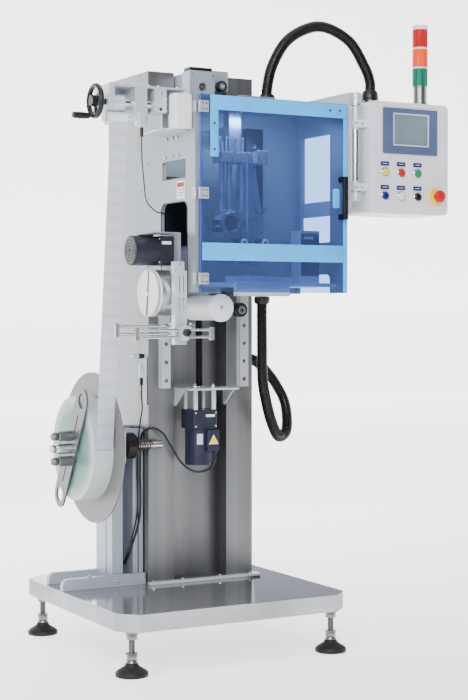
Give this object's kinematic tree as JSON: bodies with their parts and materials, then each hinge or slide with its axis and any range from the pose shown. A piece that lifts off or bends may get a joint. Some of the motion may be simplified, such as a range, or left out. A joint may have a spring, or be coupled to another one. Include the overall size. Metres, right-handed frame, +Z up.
{
  "type": "shrink sleeve applicator",
  "caption": "Floor-standing shrink sleeve applicator: reel stand, lifting head on a column, tinted guard door, swivelling control box and signal lamp.",
  "frame": {"origin": "on the floor, under the middle of the bounding box", "axes": "+Z up, +X to the operator's right, +Y away from the operator, towards the column"},
  "size_m": [1.305, 0.802, 2.042],
  "materials": {
    "stainless_sheet": "fine brushed",
    "tray_sheet": "bright brushed",
    "anodised_plate": "matt anodised, bluish grey",
    "frame_extrusion": "matt anodised",
    "ground_steel": "ground",
    "chrome_parts": "polished",
    "foot_rubber": "matt",
    "roller_rubber": "matt",
    "black_steel": "black oxide, oiled",
    "motor_paint": "dark blue-black satin",
    "feed_motor_black": "matt black",
    "reel_sheet": "brushed, warm grey",
    "film_rolled": "translucent, layered",
    "film_flat": "translucent white, fine dot pattern",
    "white_plastic": "satin",
    "black_plastic": "satin",
    "blue_acrylic": "clear blue tint",
    "box_enamel": "smooth light grey",
    "panel_bezel": "slate blue, satin",
    "lens_stack": "translucent, coloured by tier",
    "button_yellow": "glossy",
    "button_red": "glossy",
    "button_green": "glossy",
    "button_blue": "glossy",
    "button_white": "glossy",
    "button_black": "glossy",
    "stop_red": "glossy",
    "cable_black": "satin, corrugated"
  },
  "bodies": {
    "frame": {"base_tray": "tray_sheet", "foot_front_left": "foot_rubber", "foot_front_right": "foot_rubber", "foot_rear_left": "foot_rubber", "foot_rear_right": "foot_rubber", "column_shell": "stainless_sheet", "rail_left": "ground_steel", "rail_right": "ground_steel", "motor_bracket": "ground_steel", "lift_gearbox": "motor_paint", "lift_motor": "motor_paint", "screw_support": "frame_extrusion", "reel_stand": "frame_extrusion", "foot_bar_front": "frame_extrusion", "film_web": "film_flat", "motor_cable": "cable_black"},
    "lead_screw": {"lead_screw": "black_steel"},
    "reel": {"reel_disc": "reel_sheet", "film_roll": "film_rolled", "reel_shaft": "chrome_parts", "reel_arm": "ground_steel", "brake_drum": "black_plastic", "brake_spring": "ground_steel"},
    "head": {"head_left_plate": "anodised_plate", "head_right_plate": "anodised_plate", "head_carriage": "anodised_plate", "mandrel_unit": "ground_steel", "cutter_unit": "anodised_plate", "feed_plate": "anodised_plate", "feed_motor": "feed_motor_black", "slotted_bracket": "anodised_plate", "traverse_frame": "anodised_plate", "control_arm": "anodised_plate", "conduit_top": "cable_black", "conduit_side": "cable_black"},
    "pinch_roller_left": {"pinch_roller_left": "roller_rubber"},
    "pinch_roller_right": {"pinch_roller_right": "roller_rubber"},
    "feed_drum": {"feed_drum": "white_plastic"},
    "feed_roller": {"feed_roller": "white_plastic"},
    "idler": {"idler": "black_plastic"},
    "handwheel": {"handwheel": "black_plastic"},
    "crank_grip": {"crank_grip": "black_plastic"},
    "guide_roller": {"guide_roller": "white_plastic"},
    "film_guide": {"guide_bars": "ground_steel"},
    "door": {"door_panel": "blue_acrylic", "door_handle": "black_plastic", "door_hinge_1": "chrome_parts", "door_hinge_2": "chrome_parts", "door_hinge_3": "chrome_parts"},
    "control_box": {"control_box": "box_enamel", "touch_panel": "panel_bezel", "stack_base": "chrome_parts", "stack_lenses": "lens_stack"},
    "button_yellow": {"button_yellow": "button_yellow"},
    "button_red": {"button_red": "button_red"},
    "button_green": {"button_green": "button_green"},
    "button_blue": {"button_blue": "button_blue"},
    "button_white": {"button_white": "button_white"},
    "button_black": {"button_black": "button_black"},
    "emergency_stop": {"emergency_stop": "stop_red"}
  },
  "joints": [
    {"name": "head_lift", "type": "slide", "parent": "frame", "child": "head", "axis": [0, 0, 1], "range_m": [-0.12, 0.02], "deforming": ["conduit_side", "film_web"]},
    {"name": "lead_screw_turn", "type": "hinge", "parent": "frame", "child": "lead_screw", "pos_m": [-0.0965, 0, 0.842], "axis": [0, 0, 1], "range_deg": [-4400, 800]},
    {"name": "reel_spin", "type": "hinge", "parent": "frame", "child": "reel", "pos_m": [-0.4675, 0.03, 0.652], "axis": [1, 0, 0], "continuous": true},
    {"name": "door_swing", "type": "hinge", "parent": "head", "child": "door", "pos_m": [-0.2755, -0.343, 1.45], "axis": [0, 0, 1], "range_deg": [-110, 0]},
    {"name": "box_swivel", "type": "hinge", "parent": "head", "child": "control_box", "pos_m": [0.3085, -0.315, 1.6], "axis": [0, 0, 1], "range_deg": [-60, 20], "deforming": ["conduit_top"]},
    {"name": "handwheel_turn", "type": "hinge", "parent": "head", "child": "handwheel", "pos_m": [-0.5785, -0.25, 1.7165], "axis": [1, 0, 0], "continuous": true},
    {"name": "crank_grip_spin", "type": "hinge", "parent": "handwheel", "child": "crank_grip", "pos_m": [-0.6225, -0.25, 1.671], "axis": [1, 0, 0], "continuous": true},
    {"name": "guide_roller_spin", "type": "hinge", "parent": "head", "child": "guide_roller", "pos_m": [-0.5005, -0.2265, 1.672], "axis": [1, 0, 0], "continuous": true},
    {"name": "feed_drum_spin", "type": "hinge", "parent": "head", "child": "feed_drum", "pos_m": [-0.3475, -0.19, 1.1435], "axis": [1, 0, 0], "continuous": true},
    {"name": "film_guide_height", "type": "slide", "parent": "head", "child": "film_guide", "axis": [0, 0, 1], "range_m": [-0.02, 0.02]},
    {"name": "feed_roller_spin", "type": "hinge", "parent": "head", "child": "feed_roller", "pos_m": [-0.1555, -0.17, 1.098], "axis": [0, 1, 0], "continuous": true},
    {"name": "idler_spin", "type": "hinge", "parent": "head", "child": "idler", "pos_m": [0.0005, -0.1, 1.092], "axis": [0, 1, 0], "continuous": true},
    {"name": "pinch_left_spin", "type": "hinge", "parent": "head", "child": "pinch_roller_left", "pos_m": [-0.0535, -0.205, 1.306], "axis": [0, 1, 0], "continuous": true},
    {"name": "pinch_right_spin", "type": "hinge", "parent": "head", "child": "pinch_roller_right", "pos_m": [0.0225, -0.205, 1.306], "axis": [0, 1, 0], "continuous": true},
    {"name": "press_yellow", "type": "slide", "parent": "control_box", "child": "button_yellow", "axis": [0, 1, 0], "range_m": [0, 0.0035], "stiffness_N_per_m": 300, "springref_m": -0.002},
    {"name": "press_red", "type": "slide", "parent": "control_box", "child": "button_red", "axis": [0, 1, 0], "range_m": [0, 0.0035], "stiffness_N_per_m": 300, "springref_m": -0.002},
    {"name": "press_green", "type": "slide", "parent": "control_box", "child": "button_green", "axis": [0, 1, 0], "range_m": [0, 0.0035], "stiffness_N_per_m": 300, "springref_m": -0.002},
    {"name": "press_blue", "type": "slide", "parent": "control_box", "child": "button_blue", "axis": [0, 1, 0], "range_m": [0, 0.0035], "stiffness_N_per_m": 300, "springref_m": -0.002},
    {"name": "press_white", "type": "slide", "parent": "control_box", "child": "button_white", "axis": [0, 1, 0], "range_m": [0, 0.0035], "stiffness_N_per_m": 300, "springref_m": -0.002},
    {"name": "press_black", "type": "slide", "parent": "control_box", "child": "button_black", "axis": [0, 1, 0], "range_m": [0, 0.0035], "stiffness_N_per_m": 300, "springref_m": -0.002},
    {"name": "press_stop", "type": "slide", "parent": "control_box", "child": "emergency_stop", "axis": [0, 1, 0], "range_m": [0, 0.004], "stiffness_N_per_m": 600, "springref_m": -0.002}
  ],
  "couplings": [
    {"joint": "lead_screw_turn", "follows": "head_lift", "rad_per_m": 628.32}
  ]
}
